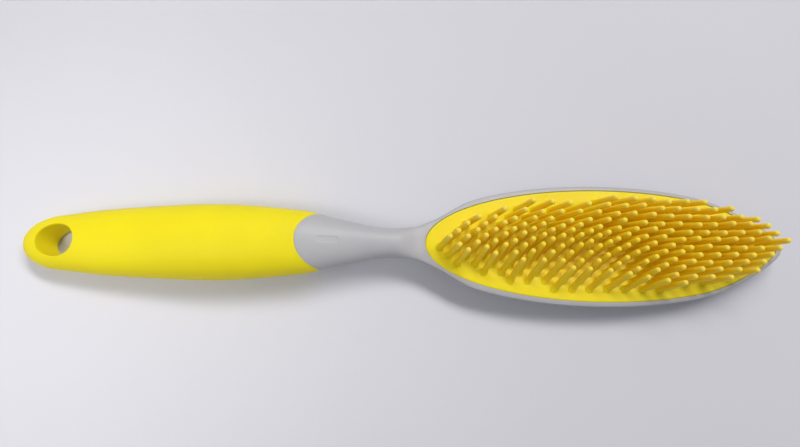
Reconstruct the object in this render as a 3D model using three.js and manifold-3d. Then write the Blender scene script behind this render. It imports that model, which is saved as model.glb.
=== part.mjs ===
// Long-handled scalp massager brush: a grey rigid frame (head, neck and handle core), a soft
// yellow grip over the core, and a soft yellow pad of swept bristles set in the oval head.
// Millimetres. x runs from the handle end (0) to the head's tip, y across, z up from the table,
// and the whole brush is then centred on x = 0.

import * as THREE from 'three';
import { LoftGeometry } from 'three/addons/geometries/LoftGeometry.js';
import { mergeVertices } from 'three/addons/utils/BufferGeometryUtils.js';
import Module from 'manifold-3d';

const wasm = await Module();
wasm.setup();

// ---------------------------------------------------------------- driving dimensions

const LENGTH = 252;
const GAP = 0.3; // clearance between neighbouring pieces

// Outline from above: half width at stations along the handle and neck.
const HANDLE_HALF_WIDTHS = [
  [0, 8.7], [12, 9.1], [28, 10.8], [44, 11.8], [64, 12.5], [94, 10.4], [106, 7.6], [123, 4.8],
  [130, 5.3], [136, 7.4], [149, 14.4],
];
// Side view: height of the widest line, then how far the section rises and drops from it.
const HANDLE_MID_HEIGHTS = [[0, 5.3], [30, 7.5], [64, 9.6], [110, 11.2], [128, 11]];
const SECTION_RISES = [
  [0, 5.1], [30, 7.3], [64, 9.6], [90, 8.1], [108, 4.9], [124, 4], [133, 1.2], [LENGTH, 1.2],
];
const SECTION_DROPS = [
  [0, 5.1], [30, 7.3], [64, 9.6], [90, 8.1], [108, 4.9], [124, 4.1], [142, 8], [160, 10.5],
  [215, 9], [LENGTH, 8],
];
const NOSE_LENGTH = 14; // rounded handle end
const TIP_LENGTH = 16; // rounded underside of the head's tip
const RIM_TIP_LENGTH = 5; // and of the rim above it

// Head: an ellipse in plan whose face is a plane that falls slightly towards the tip.
const HEAD_CENTRE = 191;
const HEAD_A = 61;
const HEAD_B = 20;
const TAPER_FROM = 221.5; // beyond this station the head is narrower than an oval
const TIP_TAPER = 0.35; // share of the oval's width lost at the tip
const FACE_HEIGHT = 10.2; // at the head's centre
const FACE_SLOPE = 0.03;
const RIM_RISE = 1.2; // from the head's widest line up to the face
const HEAD_FROM = 158.5; // the head's outline applies beyond this station
const FACE_FROM = 137; // and the slope of its face beyond this one

// Pad, its carrier plate, and the cover that closes the head's back: ellipses about PAD_CENTRE,
// with heights measured from the face plane.
const PAD_CENTRE = 192;
const PAD_A = 58;
const PAD_B = 18.5;
const PAD_EDGE_LEVEL = -0.6;
const PAD_BASE_LEVEL = -3.2;
const DISH_A = 53; // the dish inside the pad's lip
const DISH_B = 14.9;
const DISH_DEPTH = 1.2;
const PLATE_A = 54;
const PLATE_B = 15.6;
const PLATE_THICKNESS = 1.4;
const BACK_OPENING_A = 44;
const BACK_OPENING_B = 13;
const COVER_LEVEL = -7.6;
const STUD_RADIUS = 1.5;
const STUD_HEAD_RADIUS = 2.3;
const STUD_SPACING = 16;
const STUD_OFFSET = 6;

// Bristles: a staggered grid of rows along the head.
const BRISTLE_RADIUS = 1.05;
const BRISTLE_TIP_RADIUS = 0.92;
const BRISTLE_LENGTH = 12;
const BRISTLE_ROOT = 1;
const BRISTLE_SIDES = 5;
const ROW_COUNT = 12;
const ROW_SPACING = 2.58;
const BRISTLE_PITCH = 5.7;
const BRISTLE_START = 138.7;
const FIELD_A = 54.5; // the oval field of bristles
const FIELD_B = 15.2;
const FIELD_SKEW = 16; // how much further from the neck its far edge stands

// How far the bristles' tips stand from their roots: towards the head's tip at the ends of the
// field and in its middle, and across it, swept in near the neck and closing in near the tip.
const LEAN_AT_ENDS = 2.7;
const LEAN_AT_MIDDLE = 4.8;
const SWEEP_IN = 5.6;
const CLOSE_IN = 1.3;

// Grip: a soft skin over the frame's core, with a hanging hole near its end.
const SKIN = 1.4;
const SEAM_CENTRE = 101.8; // the seam is an arc about this point, seen from above
const SEAM_RADIUS = 9.4;
const CORE_START = 26; // the core starts beyond the hanging hole
const CORE_END = 106;
const HOLE_CENTRE = 15.2; // the oval hole leans back a little, square to the grip's top
const HOLE_MID_HEIGHT = 5.8;
const HOLE_LEAN = 0.3;
const HOLE_A = 7.2;
const HOLE_B = 5.2;
const WINDOW_CENTRES = [36, 58, 80];
const WINDOW_RADIUS = 3;

// Moulded mark on the neck: a shallow pill-shaped recess.
const MARK_CENTRE = 102.8;
const MARK_LENGTH = 6.7;
const MARK_WIDTH = 1.7;
const MARK_DEPTH = 0.25;

const GREY = { color: 0xb8b7bb, roughness: 0.5, metalness: 0 };
const GREY_COVER = { color: 0xb2b1b5, roughness: 0.5, metalness: 0 };
const WHITE = { color: 0xd8d8d4, roughness: 0.6, metalness: 0 };
const YELLOW_GRIP = { color: 0xf5e22c, roughness: 0.6, metalness: 0 };
const YELLOW_PAD = { color: 0xf2c91c, roughness: 0.5, metalness: 0 };

// ---------------------------------------------------------------- shape functions

// A smooth curve through [x, value] stations that never overshoots them.
function through(stations) {
  const rise = (i) => (stations[i + 1][1] - stations[i][1]) / (stations[i + 1][0] - stations[i][0]);
  const last = stations.length - 1;
  const slope = stations.map((_, i) => {
    if (i === 0) return rise(0);
    if (i === last) return rise(last - 1);
    const before = rise(i - 1);
    const after = rise(i);
    return before * after > 0 ? (2 * before * after) / (before + after) : 0;
  });
  return (x) => {
    let i = 0;
    while (i < last - 1 && x > stations[i + 1][0]) i += 1;
    const [x0, y0] = stations[i];
    const [x1, y1] = stations[i + 1];
    const t = (x - x0) / (x1 - x0);
    const width = x1 - x0;
    const h00 = (1 + 2 * t) * (1 - t) ** 2;
    const h10 = t * (1 - t) ** 2;
    const h01 = t * t * (3 - 2 * t);
    const h11 = t * t * (t - 1);
    return h00 * y0 + h10 * width * slope[i] + h01 * y1 + h11 * width * slope[i + 1];
  };
}

const face = (x) => FACE_HEIGHT - FACE_SLOPE * (x - HEAD_CENTRE);
const taper = (x) => 1 - TIP_TAPER * (Math.max(0, x - TAPER_FROM) / (LENGTH - TAPER_FROM)) ** 2;
const headHalfWidth = (x) => {
  const share = (x - HEAD_CENTRE) / HEAD_A;
  return HEAD_B * Math.sqrt(Math.max(0, 1 - share ** 2)) * taper(x);
};
const rimMid = (x) => face(x) - RIM_RISE;

const handleHalfWidth = through([
  ...HANDLE_HALF_WIDTHS, [HEAD_FROM, headHalfWidth(HEAD_FROM)], [170, headHalfWidth(170)],
]);
const handleMid = through([...HANDLE_MID_HEIGHTS, [FACE_FROM, rimMid(FACE_FROM)], [147, rimMid(147)]]);
const rise = through(SECTION_RISES);
const drop = through(SECTION_DROPS);

const noseFactor = (x) => (x < NOSE_LENGTH ? Math.sqrt(1 - (1 - x / NOSE_LENGTH) ** 2) : 1);
const tipFactor = (x, length) => {
  const past = (x - (LENGTH - length)) / length;
  return past > 0 ? Math.sqrt(1 - past ** 2) : 1;
};
const halfWidth = (x) => (x < HEAD_FROM ? noseFactor(x) * handleHalfWidth(x) : headHalfWidth(x));
const midHeight = (x) => (x < FACE_FROM ? handleMid(x) : rimMid(x));

// One cross section of the whole brush at x, as a ring of points, inset by a skin thickness.
// It is a round superellipse on the handle and a flat-topped bowl on the head.
function section(x, inset, count) {
  const blend = THREE.MathUtils.smoothstep(x, 124, 142);
  const topPower = 2 / THREE.MathUtils.lerp(2.1, 4, blend);
  const lowPower = 2 / THREE.MathUtils.lerp(2.1, 2.4, blend);
  const top = rise(x) * noseFactor(x) * tipFactor(x, RIM_TIP_LENGTH);
  const bottom = drop(x) * noseFactor(x) * tipFactor(x, TIP_LENGTH);
  const points = [];
  for (let i = 0; i < count; i += 1) {
    const angle = ((i + 0.5) / count) * Math.PI * 2;
    const c = Math.cos(angle);
    const s = Math.sin(angle);
    const power = s > 0 ? topPower : lowPower;
    const height = (s > 0 ? top : bottom) - inset;
    points.push(new THREE.Vector3(
      x,
      (halfWidth(x) - inset) * Math.sign(c) * Math.abs(c) ** power,
      midHeight(x) + height * Math.sign(s) * Math.abs(s) ** power,
    ));
  }
  return points;
}

// ---------------------------------------------------------------- solids

function solid(geometry) {
  const bare = new THREE.BufferGeometry();
  bare.setAttribute('position', geometry.attributes.position);
  bare.setIndex(geometry.index);
  const merged = mergeVertices(bare, 1e-4);
  return new wasm.Manifold(new wasm.Mesh({
    numProp: 3,
    vertProperties: new Float32Array(merged.attributes.position.array),
    triVerts: new Uint32Array(merged.index.array),
  }));
}

function piece(name, body, finish) {
  const mesh = body.getMesh();
  const geometry = new THREE.BufferGeometry();
  geometry.setAttribute('position', new THREE.BufferAttribute(new Float32Array(mesh.vertProperties), 3));
  geometry.setIndex(new THREE.BufferAttribute(new Uint32Array(mesh.triVerts), 1));
  geometry.computeVertexNormals();
  const result = new THREE.Mesh(geometry, new THREE.MeshStandardMaterial(finish));
  result.name = name;
  return result;
}

// A body lofted through cross sections of the brush at the given stations.
function loftAlong(stations, inset, count) {
  const sections = stations.map((x) => section(x, inset, count));
  return solid(new LoftGeometry(sections, { capStart: true, capEnd: true }));
}

// A body lofted through oval rings that narrow with the head: each ring is { x, a, b, height }, its
// centre, half length and half width, and a function that gives a point's height.
function loftEllipses(rings, count) {
  const sections = rings.map((ring) => {
    const points = [];
    for (let i = 0; i < count; i += 1) {
      const angle = (i / count) * Math.PI * 2;
      const x = ring.x + ring.a * Math.cos(angle);
      points.push(new THREE.Vector3(x, ring.b * Math.sin(angle) * taper(x), ring.height(x)));
    }
    return points;
  });
  return solid(new LoftGeometry(sections, { capStart: true, capEnd: true }));
}

// The same, with rings parallel to the head's face: [half length, half width, height from it].
function loftOnFace(rings, count) {
  const onFace = rings.map(([a, b, level]) => ({ x: PAD_CENTRE, a, b, height: (x) => face(x) + level }));
  return loftEllipses(onFace, count);
}

function post(x, y, radius, low, high, sides) {
  const geometry = new THREE.CylinderGeometry(radius, radius, high - low, sides);
  geometry.rotateX(Math.PI / 2);
  geometry.translate(x, y, (low + high) / 2);
  return solid(geometry);
}

function block(low, high) {
  const size = new THREE.Vector3().subVectors(high, low);
  const geometry = new THREE.BoxGeometry(size.x, size.y, size.z);
  geometry.translate((low.x + high.x) / 2, (low.y + high.y) / 2, (low.z + high.z) / 2);
  return solid(geometry);
}

// Everything on the handle side of the seam arc, moved by offset along the handle.
function handleSide(offset) {
  const centre = SEAM_CENTRE + offset;
  const outline = new THREE.Shape();
  outline.moveTo(-10, -30);
  outline.lineTo(centre, -30);
  outline.lineTo(centre, -SEAM_RADIUS);
  outline.absarc(centre, 0, SEAM_RADIUS, -Math.PI / 2, Math.PI / 2, true);
  outline.lineTo(centre, 30);
  outline.lineTo(-10, 30);
  outline.closePath();
  const geometry = new THREE.ExtrudeGeometry(outline, { depth: 40, bevelEnabled: false, curveSegments: 14 });
  geometry.translate(0, 0, -10);
  return solid(geometry);
}

// Stations: close together where the shape rounds over, further apart along the handle.
function stationsOfBrush() {
  const stations = [];
  for (const degrees of [6, 20, 34, 48, 62, 76]) {
    stations.push(NOSE_LENGTH * (1 - Math.cos(THREE.MathUtils.degToRad(degrees))));
  }
  for (let x = 21; x < 123; x += 8.5) stations.push(x);
  for (let x = 125; x < 158; x += 4) stations.push(x);
  for (let x = 165; x < 210; x += 9) stations.push(x);
  for (let x = 214; x < 234; x += 4) stations.push(x);
  for (const degrees of [0, 20, 38, 54, 68, 79, 86]) {
    stations.push(LENGTH - TIP_LENGTH * (1 - Math.sin(THREE.MathUtils.degToRad(degrees))));
  }
  return stations;
}

const STATIONS = stationsOfBrush();
const SECTION_POINTS = 24;
const aboveTable = block(new THREE.Vector3(-10, -40, 0), new THREE.Vector3(LENGTH + 10, 40, 40));
const wholeBrush = loftAlong(STATIONS, 0, SECTION_POINTS).intersect(aboveTable);

// Heights of the seats inside the head, from the face plane.
const padSeat = PAD_BASE_LEVEL - GAP;
const plateBase = padSeat - PLATE_THICKNESS;
const plateSeat = plateBase - GAP;

// ---------------------------------------------------------------- pieces

// The hanging hole as a solid, from [height, amount wider than the hole] rings.
function hangingHole() {
  const rings = [[-3, 1.1], [0.4, 1.1], [1.6, 0.3], [2.8, 0], [8, 0], [9.8, 0.3], [11, 1.1], [16, 1.1]];
  const levels = rings.map(([z, wider]) => ({
    x: HOLE_CENTRE - HOLE_LEAN * (z - HOLE_MID_HEIGHT),
    a: HOLE_A + wider,
    b: HOLE_B + wider,
    height: () => z,
  }));
  return loftEllipses(levels, 24);
}

function coreBlank(start, inset) {
  const stations = [start, ...STATIONS.filter((x) => x > CORE_START && x < CORE_END)];
  return loftAlong(stations, inset, SECTION_POINTS);
}

// The grip's inner posts run through windows in the core and lock the two together.
function posts(radiusExtra) {
  const each = WINDOW_CENTRES.map((x) => post(x, 0, WINDOW_RADIUS + radiusExtra, -5, 25, 12));
  return each.reduce((body, next) => body.add(next));
}

function gripSleeve() {
  const bore = coreBlank(CORE_START - GAP, SKIN).subtract(posts(0));
  const body = wholeBrush.intersect(handleSide(0)).subtract(bore).subtract(hangingHole());
  return piece('grip_sleeve', body, YELLOW_GRIP);
}

function pillMark() {
  const outline = new THREE.Shape();
  const radius = MARK_WIDTH / 2;
  const run = MARK_LENGTH / 2 - radius;
  outline.moveTo(-run, -radius);
  outline.lineTo(run, -radius);
  outline.absarc(run, 0, radius, -Math.PI / 2, Math.PI / 2, false);
  outline.absarc(-run, 0, radius, Math.PI / 2, (Math.PI * 3) / 2, false);
  const geometry = new THREE.ExtrudeGeometry(outline, { depth: 4, bevelEnabled: false, curveSegments: 5 });
  const top = midHeight(MARK_CENTRE) + rise(MARK_CENTRE);
  geometry.translate(MARK_CENTRE, 0, top - MARK_DEPTH - 0.15);
  return solid(geometry);
}

function frame() {
  const core = coreBlank(CORE_START, SKIN + GAP).subtract(posts(GAP));
  const padPocket = loftOnFace([[PAD_A + GAP, PAD_B + GAP, padSeat], [PAD_A + GAP, PAD_B + GAP, 6]], 44);
  const platePocket = loftOnFace([
    [PLATE_A + GAP, PLATE_B + GAP, plateSeat],
    [PLATE_A + GAP, PLATE_B + GAP, 0],
  ], 44);
  const backOpening = loftOnFace([
    [BACK_OPENING_A, BACK_OPENING_B, -15],
    [BACK_OPENING_A, BACK_OPENING_B, 0],
  ], 40);
  const body = wholeBrush
    .subtract(handleSide(GAP))
    .add(core)
    .subtract(padPocket)
    .subtract(platePocket)
    .subtract(backOpening)
    .subtract(pillMark());
  return piece('frame', body, GREY);
}

function backCover() {
  const a = BACK_OPENING_A - GAP;
  const b = BACK_OPENING_B - GAP;
  const plug = loftOnFace([[a, b, -15], [a, b, COVER_LEVEL]], 40);
  return piece('back_cover', wholeBrush.intersect(plug), GREY_COVER);
}

// Centres of the pad's studs, in two rows.
function studCentres() {
  const centres = [];
  for (let i = -2; i <= 2; i += 1) {
    for (const side of [-1, 1]) centres.push([PAD_CENTRE + i * STUD_SPACING, side * STUD_OFFSET]);
  }
  return centres;
}

function padPlate() {
  let body = loftOnFace([[PLATE_A, PLATE_B, plateBase], [PLATE_A, PLATE_B, padSeat]], 44);
  for (const [x, y] of studCentres()) body = body.subtract(post(x, y, STUD_RADIUS + GAP, 0, 15, 10));
  return piece('pad_plate', body, WHITE);
}

// Height of the pad's surface above the face plane at a fraction s of the dish's half length:
// a lip around the edge, and a shallow dish inside it.
function padLevel(s) {
  return PAD_EDGE_LEVEL - DISH_DEPTH * Math.max(0, 1 - s ** 2);
}

const dishFraction = (x, y) => Math.hypot((x - PAD_CENTRE) / DISH_A, y / taper(x) / DISH_B);

// A bristle's lean, along and across the head. u and v run from -1 to 1 over the field, from the
// neck to the tip and from the near side to the far side.
function lean(u, v) {
  const middle = Math.max(0, 1 - ((u - 0.15) / 0.85) ** 2) * (1 - 0.3 * Math.abs(v));
  const along = LEAN_AT_ENDS + (LEAN_AT_MIDDLE - LEAN_AT_ENDS) * middle;
  const neckShare = 1 - THREE.MathUtils.smoothstep(u, -0.25, 0.45);
  const nearShare = 1 - THREE.MathUtils.smoothstep(v, -0.6, 0.5);
  const swept = SWEEP_IN * nearShare * THREE.MathUtils.smoothstep(u, -1.3, -0.5);
  const across = neckShare * swept - (1 - neckShare) * (v + 0.5) * CLOSE_IN;
  return [along, across];
}

function bristle(x, y) {
  const [along, across] = lean((x - PAD_CENTRE) / FIELD_A, y / FIELD_B);
  const upward = Math.sqrt(BRISTLE_LENGTH ** 2 - along ** 2 - across ** 2);
  const direction = new THREE.Vector3(along, across, upward).normalize();
  const length = BRISTLE_LENGTH + BRISTLE_ROOT;
  const geometry = new THREE.CylinderGeometry(BRISTLE_TIP_RADIUS, BRISTLE_RADIUS, length, BRISTLE_SIDES);
  geometry.translate(0, length / 2 - BRISTLE_ROOT, 0);
  geometry.applyQuaternion(new THREE.Quaternion().setFromUnitVectors(new THREE.Vector3(0, 1, 0), direction));
  geometry.translate(x, y, face(x) + padLevel(dishFraction(x, y)));
  return solid(geometry);
}

function bristlePad() {
  const dish = loftOnFace([
    ...[0.1, 0.4, 0.7, 1].map((s) => [DISH_A * s, DISH_B * s, padLevel(s)]),
    [DISH_A, DISH_B, 3],
  ], 44);
  let body = loftOnFace([[PAD_A, PAD_B, PAD_BASE_LEVEL], [PAD_A, PAD_B, PAD_EDGE_LEVEL]], 44);
  body = body.subtract(dish);
  for (const [x, y] of studCentres()) {
    const base = face(x) + plateBase;
    body = body.add(post(x, y, STUD_RADIUS, base - 1, face(x) + PAD_BASE_LEVEL + 0.5, 10));
    body = body.add(post(x, y, STUD_HEAD_RADIUS, base - 1.6, base - GAP - 0.1, 10));
  }
  for (let row = 0; row < ROW_COUNT; row += 1) {
    const y = ((ROW_COUNT - 1) / 2 - row) * ROW_SPACING;
    const first = row % 2 === 0 ? BRISTLE_START : BRISTLE_START - BRISTLE_PITCH / 2;
    for (let x = first; x < LENGTH; x += BRISTLE_PITCH) {
      const skew = FIELD_SKEW * Math.max(0, y / FIELD_B) ** 3;
      const share = Math.hypot((x - PAD_CENTRE - skew) / FIELD_A, y / taper(x) / FIELD_B);
      if (share < 1) body = body.add(bristle(x, y));
    }
  }
  return piece('bristle_pad', body, YELLOW_PAD);
}

const brush = new THREE.Group();
brush.add(frame(), gripSleeve(), padPlate(), bristlePad(), backCover());
brush.position.x = -LENGTH / 2;

export default brush;
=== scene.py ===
"""The looks of a long-handled scalp massager brush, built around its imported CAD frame.

Lengths are in millimetres along the brush from the handle end, as in the CAD source, and become
metres in the row frame when a mesh is made.
"""

import math
import random

import bmesh
import bpy
import numpy as np
from mathutils import Matrix, Vector


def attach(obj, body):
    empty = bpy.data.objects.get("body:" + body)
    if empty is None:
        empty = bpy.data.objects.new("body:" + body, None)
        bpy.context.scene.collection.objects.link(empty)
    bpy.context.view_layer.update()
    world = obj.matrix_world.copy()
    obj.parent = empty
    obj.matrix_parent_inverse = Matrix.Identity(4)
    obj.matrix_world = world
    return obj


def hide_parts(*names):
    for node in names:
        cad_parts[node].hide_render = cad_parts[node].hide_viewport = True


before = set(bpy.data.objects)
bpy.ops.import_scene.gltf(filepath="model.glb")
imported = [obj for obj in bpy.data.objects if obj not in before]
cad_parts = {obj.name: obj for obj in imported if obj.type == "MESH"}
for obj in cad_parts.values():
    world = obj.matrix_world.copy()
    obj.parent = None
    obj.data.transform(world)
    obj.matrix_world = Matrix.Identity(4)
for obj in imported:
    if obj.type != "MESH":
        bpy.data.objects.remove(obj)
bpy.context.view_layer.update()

# ---------------------------------------------------------------- sizes, as in the CAD source

MM = 0.001
LENGTH = 252
GAP = 0.3  # clearance between neighbouring pieces

# Outline from above: half width at stations along the handle and neck.
HANDLE_HALF_WIDTHS = [
    (0, 8.7), (12, 9.1), (28, 10.8), (44, 11.8), (64, 12.5), (94, 10.4), (106, 7.6), (123, 4.8),
    (130, 5.3), (136, 7.4), (149, 14.4),
]
# Side view: height of the widest line, then how far the section rises and drops from it.
HANDLE_MID_HEIGHTS = [(0, 5.3), (30, 7.5), (64, 9.6), (110, 11.2), (128, 11)]
SECTION_RISES = [
    (0, 5.1), (30, 7.3), (64, 9.6), (90, 8.1), (108, 4.9), (124, 4), (133, 1.2), (LENGTH, 1.2),
]
SECTION_DROPS = [
    (0, 5.1), (30, 7.3), (64, 9.6), (90, 8.1), (108, 4.9), (124, 4.1), (142, 8), (160, 10.5),
    (215, 9), (LENGTH, 8),
]
NOSE_LENGTH = 14  # rounded handle end
TIP_LENGTH = 16  # rounded underside of the head's tip
RIM_TIP_LENGTH = 5  # and of the rim above it

# Superellipse powers of the sections, which change from the handle's to the head's on the neck.
HANDLE_POWER = 2.1
RIM_POWER = 4
BOWL_POWER = 2.4
POWERS_FROM = 124
POWERS_TO = 142

# Head: an ellipse in plan whose face is a plane that falls slightly towards the tip.
HEAD_CENTRE = 191
HEAD_A = 61
HEAD_B = 20
TAPER_FROM = 221.5  # beyond this station the head is narrower than an oval
TIP_TAPER = 0.35  # share of the oval's width lost at the tip
FACE_HEIGHT = 10.2  # at the head's centre
FACE_SLOPE = 0.03
RIM_RISE = 1.2  # from the head's widest line up to the face
HEAD_FROM = 158.5  # the head's outline applies beyond this station
FACE_FROM = 137  # and the slope of its face beyond this one

# Pad and the cover in the head's back: ellipses, with heights measured from the face plane.
PAD_CENTRE = 192
PAD_A = 58
PAD_B = 18.5
PAD_EDGE_LEVEL = -0.6
PAD_BASE_LEVEL = -3.2
DISH_A = 53  # the dish inside the pad's lip
DISH_B = 14.9
DISH_DEPTH = 1.2
BACK_OPENING_A = 44
BACK_OPENING_B = 13
COVER_LEVEL = -7.6

# Bristles: a staggered grid of rows along the head.
BRISTLE_RADIUS = 1.05
BRISTLE_TIP_RADIUS = 0.92
BRISTLE_LENGTH = 12
ROW_COUNT = 12
ROW_SPACING = 2.58
BRISTLE_PITCH = 5.7
BRISTLE_START = 138.7
FIELD_A = 54.5  # the oval field of bristles
FIELD_B = 15.2
FIELD_SKEW = 16  # how much further from the neck its far edge stands

# How far the bristles' tips stand from their roots: towards the head's tip at the ends of the
# field and in its middle, and across it, swept in near the neck and closing in near the tip.
LEAN_AT_ENDS = 2.7
LEAN_AT_MIDDLE = 4.8
SWEEP_IN = 5.6
CLOSE_IN = 1.3

# Grip: the seam with the neck, the hanging hole, and the pill-shaped mark beyond the seam.
SEAM_CENTRE = 101.8  # the seam is an arc about this point, seen from above
SEAM_RADIUS = 9.4
HOLE_CENTRE = 15.2  # the oval hole leans back a little, square to the grip's top
HOLE_MID_HEIGHT = 5.8
HOLE_LEAN = 0.3
HOLE_A = 7.2
HOLE_B = 5.2
MARK_CENTRE = 102.8
MARK_LENGTH = 6.7
MARK_WIDTH = 1.7

# ---------------------------------------------------------------- shape functions


def through(stations):
    """A smooth curve through (x, value) stations that never overshoots them."""
    xs = np.array([s[0] for s in stations], float)
    ys = np.array([s[1] for s in stations], float)
    rises = np.diff(ys) / np.diff(xs)
    slopes = np.empty_like(xs)
    slopes[0] = rises[0]
    slopes[-1] = rises[-1]
    product = rises[:-1] * rises[1:]
    total = rises[:-1] + rises[1:]
    safe = np.where(product > 0, total, 1.0)
    slopes[1:-1] = np.where(product > 0, 2 * product / safe, 0.0)

    def curve(x):
        x = np.asarray(x, float)
        i = np.clip(np.searchsorted(xs, x) - 1, 0, len(xs) - 2)
        width = xs[i + 1] - xs[i]
        t = (x - xs[i]) / width
        low = (1 + 2 * t) * (1 - t) ** 2 * ys[i] + t * (1 - t) ** 2 * width * slopes[i]
        high = t * t * (3 - 2 * t) * ys[i + 1] + t * t * (t - 1) * width * slopes[i + 1]
        return low + high

    return curve


def face(x):
    """Height of the sloping plane that the head's rim and pad are measured from."""
    return FACE_HEIGHT - FACE_SLOPE * (np.asarray(x, float) - HEAD_CENTRE)


def taper(x):
    """Share of the oval's width that is left near the head's tip."""
    past = np.clip((np.asarray(x, float) - TAPER_FROM) / (LENGTH - TAPER_FROM), 0, None)
    return 1 - TIP_TAPER * past**2


def head_half_width(x):
    share = (np.asarray(x, float) - HEAD_CENTRE) / HEAD_A
    return HEAD_B * np.sqrt(np.clip(1 - share**2, 0, 1)) * taper(x)


def rim_mid(x):
    return face(x) - RIM_RISE


# Both curves run on a little way into the head, so that they meet it smoothly.
handle_half_width = through(
    HANDLE_HALF_WIDTHS + [(x, float(head_half_width(x))) for x in (HEAD_FROM, 170)]
)
handle_mid = through(HANDLE_MID_HEIGHTS + [(x, float(rim_mid(x))) for x in (FACE_FROM, 147)])
rise = through(SECTION_RISES)
drop = through(SECTION_DROPS)


def nose_factor(x):
    """Share of the full section at the rounded handle end."""
    return np.sqrt(np.clip(1 - np.clip(1 - x / NOSE_LENGTH, 0, 1) ** 2, 0, 1))


def tip_factor(x, length):
    """Share of the full height where the head's tip is rounded over the given length."""
    past = np.clip((x - (LENGTH - length)) / length, 0, 1)
    return np.sqrt(1 - past**2)


def half_width(x):
    x = np.asarray(x, float)
    return np.where(x < HEAD_FROM, nose_factor(x) * handle_half_width(x), head_half_width(x))


def mid_height(x):
    x = np.asarray(x, float)
    return np.where(x < FACE_FROM, handle_mid(x), rim_mid(x))


def smoothstep(x, low, high):
    t = np.clip((np.asarray(x, float) - low) / (high - low), 0, 1)
    return t * t * (3 - 2 * t)


def top_power(x):
    return HANDLE_POWER + (RIM_POWER - HANDLE_POWER) * smoothstep(x, POWERS_FROM, POWERS_TO)


def low_power(x):
    return HANDLE_POWER + (BOWL_POWER - HANDLE_POWER) * smoothstep(x, POWERS_FROM, POWERS_TO)


def top_height(x):
    return rise(x) * nose_factor(x) * tip_factor(x, RIM_TIP_LENGTH)


def bottom_height(x):
    return drop(x) * nose_factor(x) * tip_factor(x, TIP_LENGTH)


def section_point(x, angle, inset=0.0):
    """y and z of the brush's surface at station x and section angle, moved inwards by inset."""
    c = np.cos(angle)
    s = np.sin(angle)
    power = np.where(s > 0, top_power(x), low_power(x))
    height = np.where(s > 0, top_height(x), bottom_height(x))
    y = np.maximum(half_width(x) - inset, 0) * np.sign(c) * np.abs(c) ** (2 / power)
    z = mid_height(x) + np.maximum(height - inset, 0) * np.sign(s) * np.abs(s) ** (2 / power)
    flat_bottomed = np.maximum(z, 0)
    return y, flat_bottomed


def surface_height(x, y, side):
    """z of the brush's surface above (side 1) or below (side -1) the point x, y."""
    x = np.asarray(x, float)
    power = top_power(x) if side > 0 else low_power(x)
    height = top_height(x) if side > 0 else bottom_height(x)
    share = np.clip(1 - (np.abs(y) / np.maximum(half_width(x), 1e-6)) ** power, 0, 1)
    return np.maximum(mid_height(x) + side * height * share ** (1 / power), 0)


# ---------------------------------------------------------------- mesh helpers


def mesh_object(name, points, faces):
    """A mesh object from points in millimetres along the brush and faces as index tuples."""
    placed = (np.asarray(points, float) - np.array([LENGTH / 2, 0, 0])) * MM
    mesh = bpy.data.meshes.new(name)
    mesh.from_pydata(placed.tolist(), [], faces)
    mesh.validate()
    obj = bpy.data.objects.new(name, mesh)
    bpy.context.scene.collection.objects.link(obj)
    return obj


def ring_faces(rows, columns, first=0):
    """Quads between consecutive rings of a closed tube."""
    faces = []
    for i in range(rows - 1):
        for j in range(columns):
            k = (j + 1) % columns
            a = first + i * columns
            b = a + columns
            faces.append((a + j, a + k, b + k, b + j))
    return faces


def closed_tube(name, rings, start=None, end=None):
    """A closed body from rings (rows, columns, 3), with a fan to a start and an end point.

    Where no such point is given, it is the middle of the nearest ring.
    """
    rows, columns, _ = rings.shape
    points = rings.reshape(-1, 3).tolist()
    start = rings[0].mean(0) if start is None else start
    end = rings[-1].mean(0) if end is None else end
    points.append(list(start))
    points.append(list(end))
    faces = ring_faces(rows, columns)
    first = rows * columns
    last = (rows - 1) * columns
    for j in range(columns):
        k = (j + 1) % columns
        faces.append((first, k, j))
        faces.append((first + 1, last + j, last + k))
    return mesh_object(name, points, faces)


def recalculate(obj):
    """Turn all faces outwards."""
    work = bmesh.new()
    work.from_mesh(obj.data)
    bmesh.ops.recalc_face_normals(work, faces=work.faces)
    work.to_mesh(obj.data)
    work.free()


def combine(obj, other, operation):
    """Join other to obj or cut it out of obj, and use it up."""
    recalculate(obj)
    recalculate(other)
    cut = obj.modifiers.new("cut", "BOOLEAN")
    cut.operation = operation
    cut.solver = "MANIFOLD"
    cut.object = other
    graph = bpy.context.evaluated_depsgraph_get()
    result = bpy.data.meshes.new_from_object(obj.evaluated_get(graph))
    obj.modifiers.clear()
    obj.data = result
    bpy.data.objects.remove(other)


def smooth(obj, degrees=40):
    """Smooth shading that keeps edges sharper than the given angle."""
    obj.data.shade_smooth()
    obj.data.set_sharp_from_angle(angle=math.radians(degrees))
    return obj


def rounding(radius, degrees):
    """Steps (sideways, down) around a rounded edge, from its wall at 0 degrees to its top at 90."""
    turns = np.radians(degrees)
    return [(radius * (1 - math.cos(t)), radius * (1 - math.sin(t))) for t in turns]


def ellipse_rings(levels, columns):
    """Oval rings about the pad's centre that narrow with the head.

    A level gives the oval's half length and half width, and its height as a function of x and y.
    """
    angle = np.arange(columns) / columns * math.tau
    rings = []
    for a, b, height in levels:
        x = PAD_CENTRE + a * np.cos(angle)
        y = b * np.sin(angle) * taper(x)
        rings.append(np.stack([x, y, height(x, y)], axis=-1))
    return np.array(rings)


def above_face(level):
    """A height function: level millimetres above the face."""
    return lambda x, y: face(x) + level


def off_surface(side, distance):
    """A height function: distance outside the brush's top (side 1) or back (side -1)."""
    return lambda x, y: surface_height(x, y, side) + side * distance


# ---------------------------------------------------------------- grip

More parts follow.
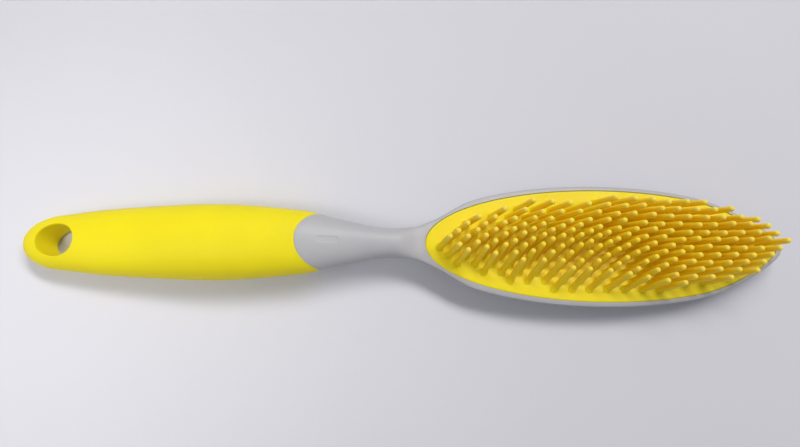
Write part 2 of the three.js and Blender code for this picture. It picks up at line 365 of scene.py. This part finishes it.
AROUND = 144  # points around a section
EDGE_ROLL = 0.15  # radius of the rolled edges on each side of the seam
SEAM_GAP = 0.04  # the moulded joint between grip and neck is tight
SEAM_DEPTH = 1.4  # how far both edges of the seam turn inwards
SEAM_REACH = 2  # the grip's hidden end dips this far before the seam
HOLE_FILLET = 1.1
OVERSHOOT = 4  # how far a cutter stands out of what it cuts
POLE_TURN = 0.04  # radians between a rounded end's last ring and its pole


def seam_at(y):
    """The seam's station at a distance y from the axis."""
    return SEAM_CENTRE - np.sqrt(np.clip(SEAM_RADIUS**2 - y**2, 0, None))


def seam_stations(angle, offset):
    """Where the seam, moved by offset along the brush, crosses the surface at each angle.

    Each place is found by halving the stretch between a station before the seam and one past it.
    """
    low = np.full_like(angle, SEAM_CENTRE - SEAM_RADIUS - SEAM_REACH)
    high = np.full_like(angle, SEAM_CENTRE + 3.0)
    for _ in range(40):
        middle = (low + high) / 2
        y, _ = section_point(middle, angle)
        before = middle < seam_at(y) + offset
        low = np.where(before, middle, low)
        high = np.where(before, high, middle)
    return low


def surface_ring(x, angle, inset=0.0):
    """A ring of points on the brush's surface at one station, or at a station for each angle."""
    y, z = section_point(x, angle, inset)
    return np.stack([np.broadcast_to(x, angle.shape), y, z], axis=-1)


def hole_cutter():
    """An oval hole, leaning back a little, whose rims are rounded over along the grip's surface."""
    columns = 72
    angle = np.arange(columns) / columns * math.tau
    rings = []

    def ring(grown, side, below):
        x = HOLE_CENTRE + (HOLE_A + grown) * np.cos(angle)
        y = (HOLE_B + grown) * np.sin(angle)
        z = surface_height(x, y, side) - side * below
        rings.append(np.stack([x - HOLE_LEAN * (z - HOLE_MID_HEIGHT), y, z], axis=-1))

    steps = rounding(HOLE_FILLET, [0, 12, 24, 36, 48, 60, 71, 80])
    ring(HOLE_FILLET, -1, -OVERSHOOT)
    for grown, below in reversed(steps):
        ring(grown, -1, below)
    for grown, below in steps:
        ring(grown, 1, below)
    ring(HOLE_FILLET, 1, -OVERSHOOT)
    return closed_tube("hole_cutter", np.array(rings))


def make_grip():
    """The soft grip: the handle's surface as far as the seam, with the hanging hole."""
    angle = (np.arange(AROUND) + 0.5) / AROUND * math.tau
    seam = seam_stations(angle, 0.0) - EDGE_ROLL
    rings = []
    for turn in np.linspace(POLE_TURN, math.pi / 2, 30):
        x = np.full_like(angle, NOSE_LENGTH * (1 - math.cos(turn)))
        rings.append(surface_ring(x, angle))
    for share in np.linspace(0, 1, 86)[1:]:
        rings.append(surface_ring(NOSE_LENGTH + share * (seam - NOSE_LENGTH), angle))
    for turn in np.radians([22, 45, 67, 90]):
        x = seam + EDGE_ROLL * math.sin(turn)
        rings.append(surface_ring(x, angle, EDGE_ROLL * (1 - math.cos(turn))))
    rings.append(surface_ring(seam + EDGE_ROLL, angle, SEAM_DEPTH))
    start = (0, 0, float(mid_height(0)))
    end = (SEAM_CENTRE - SEAM_RADIUS - SEAM_REACH, 0, float(mid_height(95)))
    grip = closed_tube("grip", np.array(rings), start, end)
    combine(grip, hole_cutter(), "DIFFERENCE")
    return smooth(grip)


# ---------------------------------------------------------------- frame: neck and head

FIT = 0.03  # the pocket's half length and half width are this much more than the pad's
POCKET_ROUNDING = 0.2
OPENING_ROUNDING = 0.35  # on both edges of the joint between the head and its cover
OPENING_CLEARANCE = 1.5  # the opening reaches this far above the cover
OVAL_COLUMNS = 256


def rounded_pocket(a, b, radius, depth_level, side):
    """A cutter for an oval pocket in the head whose mouth is rounded over."""
    levels = [(a, b, above_face(depth_level))]
    for grown, below in rounding(radius, [0, 15, 30, 45, 60, 72, 82]):
        levels.append((a + grown, b + grown, off_surface(side, -below)))
    levels.append((a + radius, b + radius, off_surface(side, OVERSHOOT)))
    return closed_tube("pocket_cutter", ellipse_rings(levels, OVAL_COLUMNS))


def mark_cutter():
    """A shallow pill-shaped cutter on the neck's top, from its floor out over its soft edge.

    A level gives the extra half width, and the depth under the neck's surface.
    """
    levels = [(-0.12, 0.13), (0, 0.11), (0.12, 0.05), (0.24, 0.01), (0.32, -1)]
    run = MARK_LENGTH / 2 - MARK_WIDTH / 2
    columns = 48
    turn = np.arange(columns) / columns * math.tau
    rings = []
    for extra, depth in levels:
        radius = MARK_WIDTH / 2 + extra
        x = MARK_CENTRE + np.where(np.cos(turn) > 0, run, -run) + radius * np.cos(turn)
        y = radius * np.sin(turn)
        rings.append(np.stack([x, y, surface_height(x, y, 1) - depth], axis=-1))
    return closed_tube("mark_cutter", np.array(rings))


def make_frame():
    """The neck and the head, with the pad's pocket, the opening in the back and the mark."""
    angle = (np.arange(AROUND) + 0.5) / AROUND * math.tau
    seam = seam_stations(angle, SEAM_GAP) + EDGE_ROLL
    last = LENGTH - TIP_LENGTH
    rings = [surface_ring(seam - EDGE_ROLL, angle, SEAM_DEPTH)]
    for turn in np.radians([90, 67, 45, 22]):
        x = seam - EDGE_ROLL * math.sin(turn)
        rings.append(surface_ring(x, angle, EDGE_ROLL * (1 - math.cos(turn))))
    for share in np.linspace(0, 1, 120)[:-1]:
        rings.append(surface_ring(seam + share * (last - seam), angle))
    for turn in np.linspace(0, math.pi / 2 - POLE_TURN, 30):
        x = np.full_like(angle, last + TIP_LENGTH * math.sin(turn))
        rings.append(surface_ring(x, angle))
    start = (SEAM_CENTRE - SEAM_RADIUS + 3, 0, float(mid_height(100)))
    end = (LENGTH, 0, float(mid_height(LENGTH)))
    body = closed_tube("neck_and_head", np.array(rings), start, end)
    pocket_level = PAD_BASE_LEVEL - GAP
    pocket = rounded_pocket(PAD_A + FIT, PAD_B + FIT, POCKET_ROUNDING, pocket_level, 1)
    opening_level = COVER_LEVEL + OPENING_CLEARANCE
    opening = rounded_pocket(BACK_OPENING_A, BACK_OPENING_B, OPENING_ROUNDING, opening_level, -1)
    for cutter in (pocket, opening, mark_cutter()):
        combine(body, cutter, "DIFFERENCE")
    return smooth(body)


def make_cover():
    """The plate in the head's back: an oval with rounded edges, on the head's own surface."""
    a = BACK_OPENING_A - GAP
    b = BACK_OPENING_B - GAP
    shares = np.linspace(0.02, 0.97, 24)
    levels = [(a * share, b * share, off_surface(-1, 0)) for share in shares]
    for inward, up in rounding(OPENING_ROUNDING, [90, 70, 50, 30, 10]):
        levels.append((a - inward, b - inward, off_surface(-1, -up)))
    levels.append((a, b, above_face(COVER_LEVEL)))
    levels.append((a * 0.5, b * 0.5, above_face(COVER_LEVEL)))
    cover = closed_tube("head_back", ellipse_rings(levels, 192))
    return smooth(cover)


# ---------------------------------------------------------------- pad and bristles

PAD_ROUNDING = 0.25
PAD_CHAMFER = 0.3  # height of the bevel around the pad's base
DISH_POWER = 1.2  # above 1, the dish meets the lip without an edge
FOOT_HEIGHT = 1.0  # of a bristle's flared foot
BRISTLE_SIDES = 14
BRISTLE_TILT = 0.22  # random spread of where each tip stands
BRISTLE_STRETCH = 0.015  # random share by which each is longer or shorter


def pad_level(x, y):
    """Height of the pad's surface above the face: a flat lip around a shallow dish."""
    share = np.hypot((x - PAD_CENTRE) / DISH_A, y / taper(x) / DISH_B)
    inside = np.clip(1 - share**2, 0, None)
    return PAD_EDGE_LEVEL - DISH_DEPTH * inside**DISH_POWER


def under_pad_top(depth):
    """A height function: depth millimetres under the pad's surface."""
    return lambda x, y: face(x) + pad_level(x, y) - depth


def make_pad():
    """The pad without its bristles."""
    base = above_face(PAD_BASE_LEVEL)
    levels = [(PAD_A * share, PAD_B * share, base) for share in (0.3, 0.97)]
    levels.append((PAD_A, PAD_B, above_face(PAD_BASE_LEVEL + PAD_CHAMFER)))
    for inward, below in rounding(PAD_ROUNDING, [0, 20, 40, 60, 80]):
        levels.append((PAD_A - inward, PAD_B - inward, under_pad_top(below)))
    for share in np.linspace(0.965, 0.02, 48):
        levels.append((PAD_A * share, PAD_B * share, under_pad_top(0)))
    return closed_tube("pad", ellipse_rings(levels, OVAL_COLUMNS))


def lean(u, v):
    """How far a bristle's tip stands from its root, along and across the head.

    u and v are the root's place in the field, each from -1 to 1. Near the neck the bristles on
    the near side sweep in, and near the tip all of them lean towards the line v = -0.5.
    """
    middle = max(0.0, 1 - ((u - 0.15) / 0.85) ** 2) * (1 - 0.3 * abs(v))
    along = LEAN_AT_ENDS + (LEAN_AT_MIDDLE - LEAN_AT_ENDS) * middle
    neck_share = 1 - float(smoothstep(u, -0.25, 0.45))
    near_share = 1 - float(smoothstep(v, -0.6, 0.5))
    swept = SWEEP_IN * near_share * float(smoothstep(u, -1.3, -0.5))
    across = neck_share * swept - (1 - neck_share) * (v + 0.5) * CLOSE_IN
    return along, across


def bristle_roots():
    """Root positions of the staggered rows that fall inside the oval field."""
    roots = []
    for row in range(ROW_COUNT):
        y = ((ROW_COUNT - 1) / 2 - row) * ROW_SPACING
        x = BRISTLE_START if row % 2 == 0 else BRISTLE_START - BRISTLE_PITCH / 2
        while x < LENGTH:
            skew = FIELD_SKEW * max(0.0, y / FIELD_B) ** 3
            across = y / float(taper(x)) / FIELD_B
            if math.hypot((x - PAD_CENTRE - skew) / FIELD_A, across) < 1:
                roots.append((x, y))
            x += BRISTLE_PITCH
    return roots


def bristle_profile():
    """(distance from the root, radius): a flared foot, a slim taper and a domed tip."""
    profile = [(-1.0, 1.5), (-0.1, 1.4), (0.15, 1.25), (0.5, 1.12), (FOOT_HEIGHT, BRISTLE_RADIUS)]
    body_end = BRISTLE_LENGTH - BRISTLE_TIP_RADIUS
    for share in (0.25, 0.5, 0.75, 1.0):
        radius = BRISTLE_RADIUS + share * (BRISTLE_TIP_RADIUS - BRISTLE_RADIUS)
        profile.append((FOOT_HEIGHT + share * (body_end - FOOT_HEIGHT), radius))
    for turn in np.radians([22, 44, 64, 80]):
        profile.append(
            (body_end + BRISTLE_TIP_RADIUS * math.sin(turn), BRISTLE_TIP_RADIUS * math.cos(turn))
        )
    return profile


def make_bristles():
    """All the bristles as closed bodies in one mesh, each a little out of true."""
    draw = random.Random(5)
    profile = bristle_profile()
    sides = BRISTLE_SIDES
    around = np.arange(sides) / sides * math.tau
    circle = np.stack([np.cos(around), np.sin(around)], axis=-1)
    points = []
    faces = []
    for x, y in bristle_roots():
        dx, dy = lean((x - PAD_CENTRE) / FIELD_A, y / FIELD_B)
        dx += draw.gauss(0, BRISTLE_TILT)
        dy += draw.gauss(0, BRISTLE_TILT)
        stretch = 1 + draw.uniform(-BRISTLE_STRETCH, BRISTLE_STRETCH)
        up = math.sqrt(BRISTLE_LENGTH**2 - dx * dx - dy * dy)
        tilt = Vector((0, 0, 1)).rotation_difference(Vector((dx, dy, up)))
        turn = np.array(tilt.to_matrix())
        root = np.array([x, y, float(face(x) + pad_level(x, y))])
        first = len(points)
        for distance, radius in profile:
            for cx, cy in circle * radius:
                points.append(root + turn @ np.array([cx, cy, distance * stretch]))
        points.append(root + turn @ np.array([0, 0, profile[0][0]]))
        points.append(root + turn @ np.array([0, 0, BRISTLE_LENGTH * stretch]))
        faces.extend(ring_faces(len(profile), sides, first))
        foot = first + len(profile) * sides
        top = foot - sides
        for j in range(sides):
            k = (j + 1) % sides
            faces.append((foot, first + k, first + j))
            faces.append((foot + 1, top + j, top + k))
    return mesh_object("bristles", points, faces)


def make_bristle_pad():
    """The pad and its bristles as one moulding."""
    pad = make_pad()
    combine(pad, make_bristles(), "UNION")
    pad.name = "soft_bristle_pad"
    return smooth(pad, 60)


# ---------------------------------------------------------------- materials

MOTTLE_LOW = 0.3  # the middle of a noise, over which a mottled colour changes
MOTTLE_HIGH = 0.7


def new_material(name):
    """An empty material with one principled shader."""
    material = bpy.data.materials.new(name)
    material.use_nodes = True
    nodes = material.node_tree.nodes
    nodes.clear()
    output = nodes.new("ShaderNodeOutputMaterial")
    shader = nodes.new("ShaderNodeBsdfPrincipled")
    material.node_tree.links.new(shader.outputs["BSDF"], output.inputs["Surface"])
    return material, shader


def noise(material, scale, detail):
    """A noise texture in the object's own coordinates; scale is in features per metre."""
    nodes = material.node_tree.nodes
    links = material.node_tree.links
    coordinates = nodes.new("ShaderNodeTexCoord")
    texture = nodes.new("ShaderNodeTexNoise")
    texture.inputs["Scale"].default_value = scale
    texture.inputs["Detail"].default_value = detail
    texture.inputs["Roughness"].default_value = 0.5
    links.new(coordinates.outputs["Object"], texture.inputs["Vector"])
    return texture.outputs["Fac"]


def ramp(material, source, stops):
    """The colour that a value between 0 and 1 picks from (position, colour) stops."""
    nodes = material.node_tree.nodes
    links = material.node_tree.links
    node = nodes.new("ShaderNodeValToRGB")
    elements = node.color_ramp.elements
    elements[0].position = stops[0][0]
    elements[0].color = stops[0][1]
    elements[1].position = stops[-1][0]
    elements[1].color = stops[-1][1]
    for position, colour in stops[1:-1]:
        element = elements.new(position)
        element.color = colour
    links.new(source, node.inputs["Fac"])
    return node.outputs["Color"]


def bump(material, shader, grain, depth, detail=2):
    """A fine grain pressed into the surface: features per metre, and depth in metres."""
    nodes = material.node_tree.nodes
    links = material.node_tree.links
    node = nodes.new("ShaderNodeBump")
    node.inputs["Strength"].default_value = 1.0
    node.inputs["Distance"].default_value = depth
    links.new(noise(material, grain, detail), node.inputs["Height"])
    links.new(node.outputs["Normal"], shader.inputs["Normal"])


def mottled(material, source, low, high):
    """A colour that wanders between two others as the source does."""
    return ramp(material, source, [(MOTTLE_LOW, low), (MOTTLE_HIGH, high)])


def grey(value):
    return (value, value, value, 1.0)


def spread(colour, amount):
    """A darker and a lighter neighbour of a colour."""
    dark = tuple(c * (1 - amount) for c in colour) + (1.0,)
    light = tuple(min(1.0, c * (1 + amount)) for c in colour) + (1.0,)
    return dark, light


def uneven_roughness(material, shader, low, high):
    patches = noise(material, scale=140, detail=3)
    rough = mottled(material, patches, grey(low), grey(high))
    material.node_tree.links.new(rough, shader.inputs["Roughness"])


def moulded(name, colour, variation, rough, grain, depth, specular):
    """A moulded surface: mottled colour, uneven roughness and a fine eroded grain."""
    material, shader = new_material(name)
    patches = noise(material, scale=60, detail=4)
    base = mottled(material, patches, *spread(colour, variation))
    material.node_tree.links.new(base, shader.inputs["Base Color"])
    uneven_roughness(material, shader, *rough)
    bump(material, shader, grain, depth)
    shader.inputs["Specular IOR Level"].default_value = specular
    return material


def grip_material():
    yellow = (0.81, 0.68, 0.008)
    return moulded(
        "soft_touch_yellow", yellow, variation=0.02, rough=(0.5, 0.58), grain=5200, depth=0.00003,
        specular=0.2,
    )


def frame_material():
    light_grey = (0.43, 0.425, 0.44)
    return moulded(
        "satin_grey", light_grey, variation=0.025, rough=(0.38, 0.46), grain=4200, depth=0.00002,
        specular=0.4,
    )


PAD_COLOURS_AND_PAINTED_LIGHT = [
    (-2.2, (1.0, 0.62, 0.010, 1)),  # level above the face in mm: painted shade, the floor of the dish darker and more orange
    (-1.2, (0.90, 0.73, 0.006, 1)),  # the lip
    (-0.4, (0.90, 0.73, 0.006, 1)),
    (1.0, (1.0, 0.71, 0.012, 1)),  # the bristles, more orange
    (8.0, (1.0, 0.71, 0.020, 1)),
    (10.0, (1.0, 0.74, 0.080, 1)),  # a painted highlight: the bristles' tips paler
]


def pad_material():
    """Soft silicone coloured by height above the face: painted shade on the dish floor, a yellow
    lip, bristles more orange than the lip, and a painted highlight on their tips.
    """
    material, shader = new_material("yellow_silicone")
    nodes = material.node_tree.nodes
    links = material.node_tree.links
    coordinates = nodes.new("ShaderNodeTexCoord")
    split = nodes.new("ShaderNodeSeparateXYZ")
    links.new(coordinates.outputs["Object"], split.inputs["Vector"])
    tilt = nodes.new("ShaderNodeMath")
    tilt.operation = "MULTIPLY_ADD"
    tilt.inputs[1].default_value = FACE_SLOPE
    links.new(split.outputs["X"], tilt.inputs[0])
    links.new(split.outputs["Z"], tilt.inputs[2])
    face_at = FACE_HEIGHT + FACE_SLOPE * (HEAD_CENTRE - LENGTH / 2)
    low, high = PAD_COLOURS_AND_PAINTED_LIGHT[0][0], PAD_COLOURS_AND_PAINTED_LIGHT[-1][0]
    level = nodes.new("ShaderNodeMapRange")
    level.inputs["From Min"].default_value = (face_at + low) * MM
    level.inputs["From Max"].default_value = (face_at + high) * MM
    links.new(tilt.outputs["Value"], level.inputs["Value"])
    # Colour by height above the face, with painted shade on the dish floor and a painted highlight
    # near the bristles' tips.
    stops = [((at - low) / (high - low), colour) for at, colour in PAD_COLOURS_AND_PAINTED_LIGHT]
    blend = nodes.new("ShaderNodeVectorMath")
    blend.operation = "MULTIPLY"
    links.new(ramp(material, level.outputs["Result"], stops), blend.inputs[0])
    patches = noise(material, scale=90, detail=4)
    links.new(mottled(material, patches, grey(0.95), grey(1.0)), blend.inputs[1])
    links.new(blend.outputs["Vector"], shader.inputs["Base Color"])
    uneven_roughness(material, shader, low=0.40, high=0.50)
    bump(material, shader, grain=3800, depth=0.00003)
    shader.inputs["Subsurface Weight"].default_value = 0.45
    shader.inputs["Subsurface Radius"].default_value = (1.0, 0.6, 0.1)
    shader.inputs["Subsurface Scale"].default_value = 0.0015
    shader.inputs["Specular IOR Level"].default_value = 0.22
    return material


def plate_material():
    off_white = (0.66, 0.66, 0.63)
    return moulded(
        "natural_white", off_white, variation=0.03, rough=(0.45, 0.55), grain=3000, depth=0.00003,
        specular=0.5,
    )


def floor_material():
    material, shader = new_material("pale_table")
    clouds = noise(material, scale=9, detail=3)
    base = mottled(material, clouds, *spread((0.65, 0.645, 0.69), 0.012))
    material.node_tree.links.new(base, shader.inputs["Base Color"])
    shader.inputs["Roughness"].default_value = 0.75
    shader.inputs["Specular IOR Level"].default_value = 0.2
    bump(material, shader, grain=900, depth=0.00002, detail=3)
    return material


# ---------------------------------------------------------------- pieces on the frame


def place(obj, material, node):
    """Give a visible piece its material, and let it stand for a CAD node."""
    obj.data.materials.clear()
    obj.data.materials.append(material)
    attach(obj, "root")
    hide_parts(node)


hard_plastic = frame_material()
place(make_grip(), grip_material(), "grip_sleeve")
place(make_frame(), hard_plastic, "frame")
place(make_cover(), hard_plastic, "back_cover")
place(make_bristle_pad(), pad_material(), "bristle_pad")

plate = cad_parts["pad_plate"]
plate.data.materials.clear()
plate.data.materials.append(plate_material())

# ---------------------------------------------------------------- stage, camera and light

# Places and sizes in metres in the row frame, powers in watts and the spread in degrees.
FLOOR_SIZE = 3.0
CAMERA_AT = (-0.0003, -0.035, 0.2046)
CAMERA_TARGET = (-0.0003, 0.0069, 0.009)
CAMERA_ROLL = math.radians(0.5)
CAMERA_LENS = 27.2  # mm on a sensor 36 mm wide
KEY_AT = (0.34, 0.5, 0.95)
KEY_TARGET = (0.07, 0, 0)
KEY_SIZE = (0.9, 0.22)
KEY_POWER = 9.2
FILL_AT = (-0.24, -0.12, 0.36)
FILL_TARGET = (-0.13, -0.01, 0)
FILL_SIZE = (0.15, 0.15)
FILL_POWER = 0.073
FILL_SPREAD = 50
WORLD_COLOUR = (0.93, 0.95, 1.0, 1.0)
WORLD_STRENGTH = 0.325


def make_floor():
    half = FLOOR_SIZE / 2
    mesh = bpy.data.meshes.new("floor")
    corners = [(-half, -half, 0), (half, -half, 0), (half, half, 0), (-half, half, 0)]
    mesh.from_pydata(corners, [], [(0, 1, 2, 3)])
    floor = bpy.data.objects.new("floor", mesh)
    floor.data.materials.append(floor_material())
    bpy.context.scene.collection.objects.link(floor)


def look(obj, target, roll=0.0):
    """Turn a camera or a light towards a target."""
    direction = Vector(target) - obj.location
    turn = direction.to_track_quat("-Z", "Y").to_matrix()
    obj.rotation_euler = (turn @ Matrix.Rotation(roll, 3, "Z")).to_euler()


def make_camera():
    """Close above the brush, tilted a little from straight down."""
    camera = bpy.data.objects.new("camera", bpy.data.cameras.new("camera"))
    camera.data.sensor_width = 36
    camera.data.lens = CAMERA_LENS
    camera.data.clip_start = 0.01
    camera.location = CAMERA_AT
    look(camera, CAMERA_TARGET, CAMERA_ROLL)
    bpy.context.scene.collection.objects.link(camera)
    bpy.context.scene.camera = camera


def make_light(name, place_at, target, size, power, spread_degrees=180):
    """A rectangular soft light: size is its width along the brush and its depth."""
    light = bpy.data.lights.new(name, "AREA")
    light.shape = "RECTANGLE"
    light.size, light.size_y = size
    light.spread = math.radians(spread_degrees)
    light.energy = power
    light.color = (1.0, 0.99, 0.98)
    obj = bpy.data.objects.new(name, light)
    obj.location = place_at
    look(obj, target)
    bpy.context.scene.collection.objects.link(obj)


def make_world():
    world = bpy.data.worlds.new("world")
    world.use_nodes = True
    background = world.node_tree.nodes["Background"]
    background.inputs["Color"].default_value = WORLD_COLOUR
    background.inputs["Strength"].default_value = WORLD_STRENGTH
    bpy.context.scene.world = world


make_floor()
make_camera()
make_light("key", KEY_AT, KEY_TARGET, KEY_SIZE, KEY_POWER)
make_light("fill", FILL_AT, FILL_TARGET, FILL_SIZE, FILL_POWER, FILL_SPREAD)
make_world()
bpy.context.scene.view_settings.view_transform = "Standard"
